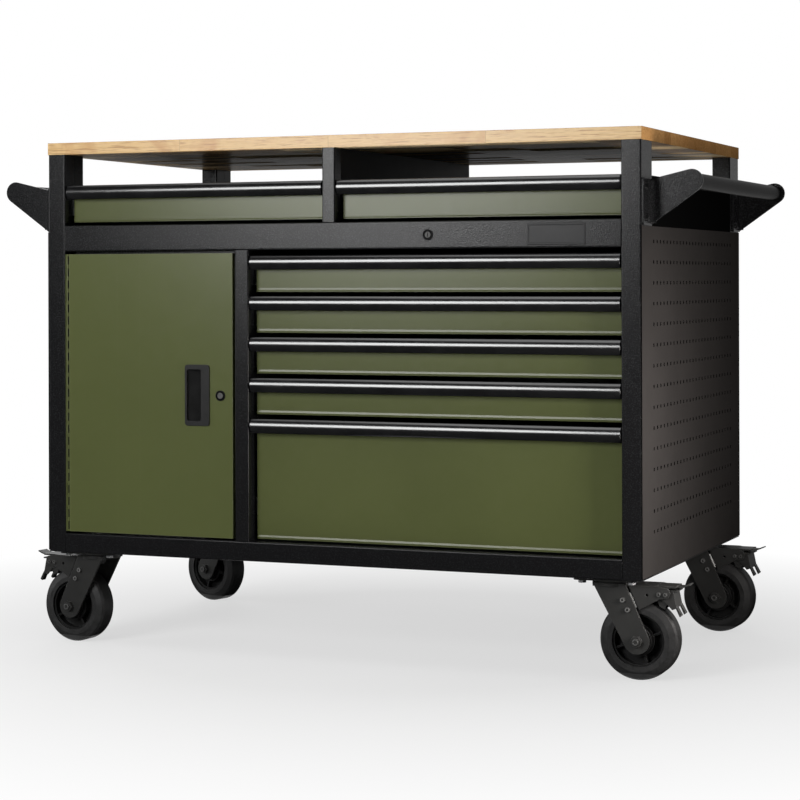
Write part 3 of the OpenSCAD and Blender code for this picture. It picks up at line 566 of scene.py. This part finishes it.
def badge(shape):
    """A bare plate on the upper rail's face, with round corners and a bevelled rim."""
    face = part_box("upper_rail")[0].y
    (x0, x1), (z0, z1) = PLATE_X, PLATE_Z
    corners = ((x1, z1, -1, -1), (x0, z1, 1, -1), (x0, z0, 1, 1), (x1, z0, -1, 1))
    rows = []
    for inset, out in PLATE_RIM:
        r = max(PLATE_CORNER - inset, PLATE_LEAST_CORNER)
        row = []
        for quarter, (x, z, inward_x, inward_z) in enumerate(corners):
            for step in range(CORNER_STEPS + 1):
                a = math.radians(90 * (quarter + step / CORNER_STEPS))
                at_x = x + inward_x * (inset + r) + r * math.cos(a)
                at_z = z + inward_z * (inset + r) + r * math.sin(a)
                row.append(shape.verts.new((at_x, face - out, at_z)))
        rows.append(row)
    skin(shape, rows)
    shape.faces.new(rows[-1])
    shape.faces.new(rows[0])


def beside_swivel(corner):
    """Turns places beside a caster's swivel (along its heading, across, up) into the part's frame."""
    swivel_x, swivel_y, _ = joints["swivel_" + corner]["pos_m"]
    axle_x, axle_y, _ = joints["spin_" + corner]["axis"]
    foot = Vector((swivel_x, swivel_y, 0))
    heading = Vector((axle_y, -axle_x, 0))
    across = Vector((axle_x, axle_y, 0))
    return lambda x, y, z: foot + heading * x + across * y + Vector((0, 0, z))


def rings(shape, at, centre, face, outer, inner, tall):
    """Flat rings with a rounded rim, standing out from the faces on both sides of a wheel."""
    x, z = centre
    profile = (
        (outer, 0.0),
        (outer, tall * 0.6),
        (outer * 0.93, tall),
        (inner * 1.15, tall),
        (inner, tall * 0.7),
        (inner, 0.0),
    )
    turns = [2 * math.pi * i / RING_STEPS for i in range(RING_STEPS)]
    for side in (-1, 1):
        rows = []
        for r, out in profile:
            points = [at(x + r * math.cos(a), side * (face + out), z + r * math.sin(a)) for a in turns]
            rows.append([shape.verts.new(point) for point in points])
        skin(shape, rows + rows[:1])


def leg_bolts(shape, at):
    """Plated faces on the leg bolts of one caster."""
    for place in LEG_BOLTS:
        rings(shape, at, place, LEG_FACE, *BOLT_RING)


def rivets(shape, at):
    """Duller faces on the brake rivets and axle ends of one caster."""
    for place in BRAKE_RIVETS:
        rings(shape, at, place, BRAKE_FACE, *RIVET_RING)
    rings(shape, at, AXLE_END, AXLE_FACE, *AXLE_RING)


def painted_strip(shape, at):
    """A pale strip in the slit between a fork leg and its brake plate, on both sides, painted light as the
    highlight there.
    """
    (top_x, top), (foot_x, foot) = STRIP_TOP, STRIP_FOOT
    outline = ((top_x, top), (top_x + STRIP_W, top), (foot_x + STRIP_W, foot), (foot_x, foot))
    for side in (-1, 1):
        rows = [[shape.verts.new(at(x, side * y, z)) for x, z in outline] for y in (STRIP_NEAR, STRIP_FAR)]
        skin(shape, rows)
        for row in rows:
            shape.faces.new(row)


plate_black = moulding("badge_plate_black", srgb(30, 30, 31), 0.36)
new_piece("badge_plate", badge, plate_black, "frame")

TRIM = (
    ("leg_bolts_", leg_bolts, satin_paint("plated_fixings", srgb(98, 98, 97), 0.34, 0.4, 0.10)),
    ("rivets_", rivets, satin_paint("dull_fixings", srgb(72, 72, 71), 0.34, 0.5, 0.10)),
    # A pale strip in each slit, painted light as the highlight there
    ("brake_leaf_", painted_strip, satin_paint("bright_leaf", srgb(214, 214, 212), 0.40, 0.3, 0.04)),
)
for corner in ("front_right", "rear_right", "front_left", "rear_left"):
    at = beside_swivel(corner)
    for name, draw, finish in TRIM:
        new_piece(name + corner, lambda shape: draw(shape, at), finish, "caster_" + corner)


def light(name, at, toward, size, power, tint=(1, 1, 1), shape="RECTANGLE", spread=180):
    """A soft lamp of a given width and height that faces a point."""
    lamp = bpy.data.lights.new(name, "AREA")
    lamp.shape = shape
    lamp.spread = math.radians(spread)
    lamp.size, lamp.size_y = size
    lamp.energy = power
    lamp.color = tint
    holder = bpy.data.objects.new(name, lamp)
    scene.collection.objects.link(holder)
    holder.location = at
    holder.rotation_euler = (Vector(toward) - Vector(at)).to_track_quat("-Z", "Y").to_euler()
    return holder


def seen_rays(tree):
    """1 for rays from the camera, off gloss or through glass, and 0 for those that only carry light."""
    path = tree.nodes.new("ShaderNodeLightPath")
    seen = path.outputs["Is Camera Ray"]
    for kind in ("Is Glossy Ray", "Is Transmission Ray"):
        either = tree.nodes.new("ShaderNodeMath")
        either.operation = "MAXIMUM"
        tree.links.new(seen, either.inputs[0])
        tree.links.new(path.outputs[kind], either.inputs[1])
        seen = either.outputs[0]
    return seen


def studio_world():
    """A world that looks white and gives little light."""
    world = bpy.data.worlds.new("studio")
    world.use_nodes = True
    scene.world = world
    tree = world.node_tree
    strength = tree.nodes.new("ShaderNodeMapRange")
    strength.inputs["To Min"].default_value = WORLD_LIGHT
    strength.inputs["To Max"].default_value = 1.0
    tree.links.new(seen_rays(tree), strength.inputs["Value"])
    tree.links.new(strength.outputs[0], tree.nodes["Background"].inputs["Strength"])
    tree.nodes["Background"].inputs["Color"].default_value = (1, 1, 1, 1)


def studio_floor():
    """A pale floor that goes white with distance and keeps the shadow under the cabinet."""
    mesh = bpy.data.meshes.new("floor")
    sides = ((-1, -1), (1, -1), (1, 1), (-1, 1))
    mesh.from_pydata([(x * FLOOR_REACH, y * FLOOR_REACH, 0) for x, y in sides], [], [(0, 1, 2, 3)])
    floor = bpy.data.objects.new("floor", mesh)
    scene.collection.objects.link(floor)
    p = Paint("studio_floor")
    p.set(Base_Color=p.ramp(p.noise(3.0, 3.0, 0.5), (0.3, grey(238)), (0.7, grey(243))))
    p.set(Roughness=0.8, Specular_IOR_Level=0.1)
    glow = p.add("ShaderNodeEmission")
    glow.inputs["Strength"].default_value = 1.0
    share = p.spread(p.vector("LENGTH", p.place), 0.6, 1.6, 0.62, 1.0)
    both = p.add("ShaderNodeMixShader")
    p.put(both.inputs[0], p.math("MULTIPLY", seen_rays(p.tree), share))
    p.put(both.inputs[1], p.shader.outputs[0])
    p.put(both.inputs[2], glow.outputs[0])
    p.put(p.output.inputs["Surface"], both.outputs[0])
    mesh.materials.append(p.material)


def wall_paint(name, low, high):
    """A matt grey that drifts between two levels."""
    p = Paint(name)
    p.set(Base_Color=p.ramp(p.noise(1.0, rough=0.55), (0.3, grey(low)), (0.7, grey(high))))
    p.set(Roughness=0.9, Specular_IOR_Level=0.0)
    return p


def dark_wall():
    """The studio round the cabinet, dark but for a grey back that glows, which only gloss sees."""
    mesh = bpy.data.meshes.new("dark_wall")
    shape = bmesh.new()
    turns = [2 * math.pi * i / WALL_STEPS for i in range(WALL_STEPS)]
    rows = []
    for reach, z in WALL_RINGS:
        rows.append([shape.verts.new((reach * math.cos(a), reach * math.sin(a), z)) for a in turns])
    for i, face in enumerate(skin(shape, rows)):
        face.material_index = int(i % WALL_STEPS in GREY_STEPS)
    shape.to_mesh(mesh)
    shape.free()
    wall = bpy.data.objects.new("dark_wall", mesh)
    scene.collection.objects.link(wall)
    mesh.materials.append(wall_paint("dark_wall", 30, 40).material)
    back = wall_paint("grey_back", 60, 70)
    back.set(Emission_Color=(1, 1, 1, 1), Emission_Strength=0.33)
    mesh.materials.append(back.material)
    wall.visible_camera = wall.visible_diffuse = wall.visible_shadow = wall.visible_transmission = False


def light_cabinet_alone(lamp):
    """Keeps a lamp that stands close to the cabinet from leaving a bright patch on the floor."""
    lit = bpy.data.collections.new("lit_from_the_right")
    for piece in scene.objects:
        if piece.type == "MESH" and piece.name not in ("floor", "dark_wall"):
            lit.objects.link(piece)
    lamp.light_linking.receiver_collection = lit


light("front_softbox", (-1.23, -3.6, 1.53), (0.0, -0.3, 0.8), (1.78, 1.6), 79, shape="ELLIPSE")
light("top_softbox", (0.2, -0.6, 3.4), (0.0, 0.0, 0.5), (3.0, 2.4), 20)
right_softbox = light(
    "right_softbox", (1.12, -0.46, 0.42), (0.6, -0.40, 0.42), (0.25, 0.4), 6.2, WARM, spread=145
)
light("left_fill", (-3.0, -0.8, 0.7), (-0.4, -0.3, 0.2), (1.6, 1.0), 15)
light("back_fill", (-1.9, 3.4, 1.8), (0.0, 0.3, 0.6), (2.0, 1.6), 20)
studio_world()
studio_floor()
dark_wall()
light_cabinet_alone(right_softbox)

# The camera that was fitted to the photograph
lens = bpy.data.cameras.new("camera")
lens.lens = 98.71
lens.sensor_width = 36
lens.shift_y = -0.1529
camera = bpy.data.objects.new("camera", lens)
scene.collection.objects.link(camera)
camera.location = (1.66046, -4.06840, 0.71558)
camera.rotation_euler = (math.radians(90), 0.0028, math.radians(22.254))
scene.camera = camera

bpy.context.view_layer.update()
